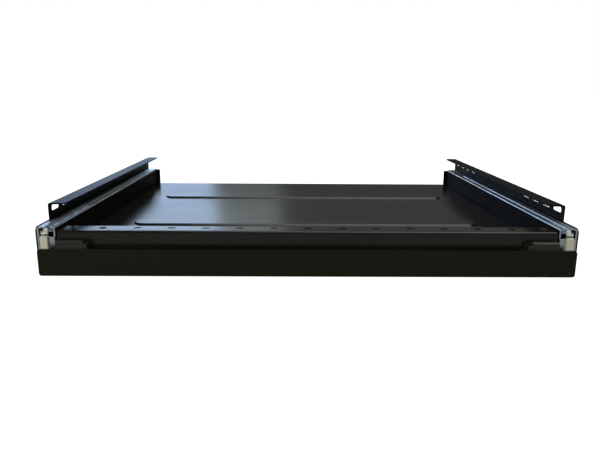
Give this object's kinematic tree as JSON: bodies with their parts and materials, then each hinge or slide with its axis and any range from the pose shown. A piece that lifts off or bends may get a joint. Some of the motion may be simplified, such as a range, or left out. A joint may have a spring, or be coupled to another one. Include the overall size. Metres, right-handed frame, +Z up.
{
  "type": "sliding cabinet tray on ball-bearing drawer slides",
  "caption": "Shallow black steel pull-out tray on a pair of full-extension ball-bearing drawer slides, each on a slotted cabinet side bracket.",
  "frame": {"origin": "middle of the footprint, on the surface under the slides", "axes": "+X to the right across the tray, +Y to the rear of the cabinet, +Z up; the tray pulls out towards -Y"},
  "size_m": [0.5, 0.4244, 0.0612],
  "materials": {
    "black_bracket": "satin black powder coat, brackets",
    "black_tray": "semi-gloss black powder coat, tray",
    "black_fascia": "satin black powder coat, fascia",
    "zinc_rail": "bright zinc plated",
    "zinc_cage": "zinc plated strip",
    "chrome_ball": "polished",
    "cream_nylon": "moulded, slightly shiny",
    "white_nylon": "moulded",
    "grey_nylon": "moulded",
    "zinc_fastener": "zinc plated",
    "black_fastener": "painted over with the tray"
  },
  "bodies": {
    "cabinet_side": {"left_bracket": "black_bracket", "right_bracket": "black_bracket", "left_cabinet_member": "zinc_rail", "right_cabinet_member": "zinc_rail", "left_bracket_rivets": "zinc_fastener", "right_bracket_rivets": "zinc_fastener", "left_rear_buffer": "grey_nylon", "right_rear_buffer": "grey_nylon"},
    "tray": {"left_drawer_member": "zinc_rail", "right_drawer_member": "zinc_rail", "left_tray_side": "black_tray", "right_tray_side": "black_tray", "left_slide_rivets": "black_fastener", "right_slide_rivets": "black_fastener", "left_pan_rivets": "black_fastener", "right_pan_rivets": "black_fastener", "left_fascia_bracket": "black_fascia", "right_fascia_bracket": "black_fascia", "floor_pan": "black_tray", "fascia": "black_fascia", "fascia_plugs": "black_fastener", "fascia_bracket_screws": "zinc_fastener", "fascia_bracket_nuts": "zinc_fastener"},
    "left_middle_member": {"left_middle_outer_channel": "zinc_rail", "left_middle_inner_channel": "zinc_rail", "left_middle_rivets": "zinc_fastener", "left_front_cap": "cream_nylon", "left_front_bumpers": "white_nylon"},
    "left_outer_ball_cage": {"left_outer_cage": "zinc_cage", "left_outer_balls": "chrome_ball"},
    "left_inner_ball_cage": {"left_inner_cage": "zinc_cage", "left_inner_balls": "chrome_ball"},
    "right_middle_member": {"right_middle_outer_channel": "zinc_rail", "right_middle_inner_channel": "zinc_rail", "right_middle_rivets": "zinc_fastener", "right_front_cap": "cream_nylon", "right_front_bumpers": "white_nylon"},
    "right_outer_ball_cage": {"right_outer_cage": "zinc_cage", "right_outer_balls": "chrome_ball"},
    "right_inner_ball_cage": {"right_inner_cage": "zinc_cage", "right_inner_balls": "chrome_ball"}
  },
  "joints": [
    {"name": "tray_slide", "type": "slide", "parent": "cabinet_side", "child": "tray", "axis": [0, -1, 0], "range_m": [0, 0.38]},
    {"name": "left_middle_member_slide", "type": "slide", "parent": "cabinet_side", "child": "left_middle_member", "axis": [0, -1, 0], "range_m": [0, 0.19]},
    {"name": "left_outer_ball_cage_slide", "type": "slide", "parent": "cabinet_side", "child": "left_outer_ball_cage", "axis": [0, -1, 0], "range_m": [0, 0.095]},
    {"name": "left_inner_ball_cage_slide", "type": "slide", "parent": "cabinet_side", "child": "left_inner_ball_cage", "axis": [0, -1, 0], "range_m": [0, 0.285]},
    {"name": "right_middle_member_slide", "type": "slide", "parent": "cabinet_side", "child": "right_middle_member", "axis": [0, -1, 0], "range_m": [0, 0.19]},
    {"name": "right_outer_ball_cage_slide", "type": "slide", "parent": "cabinet_side", "child": "right_outer_ball_cage", "axis": [0, -1, 0], "range_m": [0, 0.095]},
    {"name": "right_inner_ball_cage_slide", "type": "slide", "parent": "cabinet_side", "child": "right_inner_ball_cage", "axis": [0, -1, 0], "range_m": [0, 0.285]}
  ],
  "couplings": [
    {"joint": "left_middle_member_slide", "follows": "tray_slide", "ratio": 0.5},
    {"joint": "left_outer_ball_cage_slide", "follows": "tray_slide", "ratio": 0.25},
    {"joint": "left_inner_ball_cage_slide", "follows": "tray_slide", "ratio": 0.75},
    {"joint": "right_middle_member_slide", "follows": "tray_slide", "ratio": 0.5},
    {"joint": "right_outer_ball_cage_slide", "follows": "tray_slide", "ratio": 0.25},
    {"joint": "right_inner_ball_cage_slide", "follows": "tray_slide", "ratio": 0.75}
  ]
}
